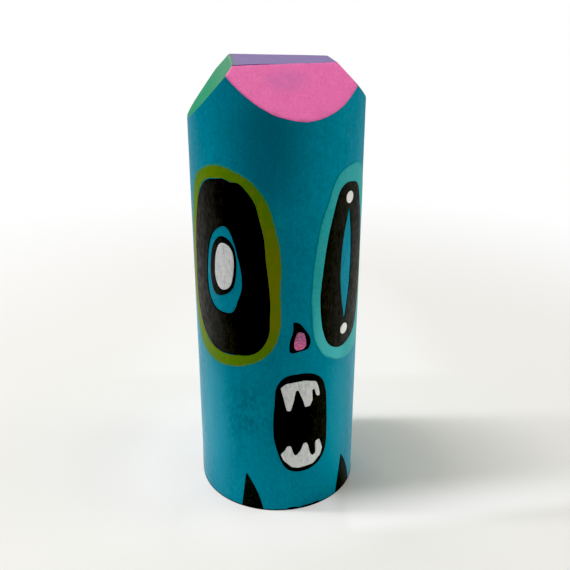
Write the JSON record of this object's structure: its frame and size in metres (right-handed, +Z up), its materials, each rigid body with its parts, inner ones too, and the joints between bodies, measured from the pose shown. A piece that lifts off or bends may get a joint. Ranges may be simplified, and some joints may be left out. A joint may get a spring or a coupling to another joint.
{
  "type": "painted wooden block figure",
  "caption": "Free-standing round wooden block with a bevelled top, hand painted with a monster face in acrylic colours.",
  "frame": {"origin": "centre of the base, on the face the block stands on", "axes": "+Z up along the block's axis, -Y towards the mouth and the front bevel, +X to the right of somebody who looks at the face"},
  "size_m": [0.051, 0.0511, 0.1355],
  "materials": {
    "bare_wood": "bare, fine sawn",
    "teal_acrylic": "brushed satin acrylic",
    "lilac_acrylic": "brushed satin acrylic",
    "pink_acrylic": "brushed satin acrylic",
    "green_acrylic": "brushed satin acrylic",
    "olive_acrylic": "brushed satin acrylic",
    "aqua_acrylic": "brushed satin acrylic",
    "black_acrylic": "satin acrylic",
    "white_acrylic": "satin acrylic",
    "rose_acrylic": "satin acrylic"
  },
  "bodies": {
    "root": {"wood_block": "bare_wood", "teal_base_coat": "teal_acrylic", "top_lilac_paint": "lilac_acrylic", "front_bevel_pink_paint": "pink_acrylic", "left_bevel_green_paint": "green_acrylic", "right_bevel_green_paint": "green_acrylic", "back_bevel_pink_paint": "pink_acrylic", "left_eye_olive_ring": "olive_acrylic", "left_eye_black": "black_acrylic", "left_eye_pupil_black": "black_acrylic", "left_eye_pupil_white": "white_acrylic", "right_eye_aqua_ring": "aqua_acrylic", "right_eye_black": "black_acrylic", "right_eye_white_dots": "white_acrylic", "nose_black": "black_acrylic", "nose_pink": "rose_acrylic", "mouth_black": "black_acrylic", "upper_teeth_white": "white_acrylic", "lower_teeth_white": "white_acrylic", "base_black_paint": "black_acrylic", "base_spikes": "black_acrylic"}
  },
  "joints": []
}
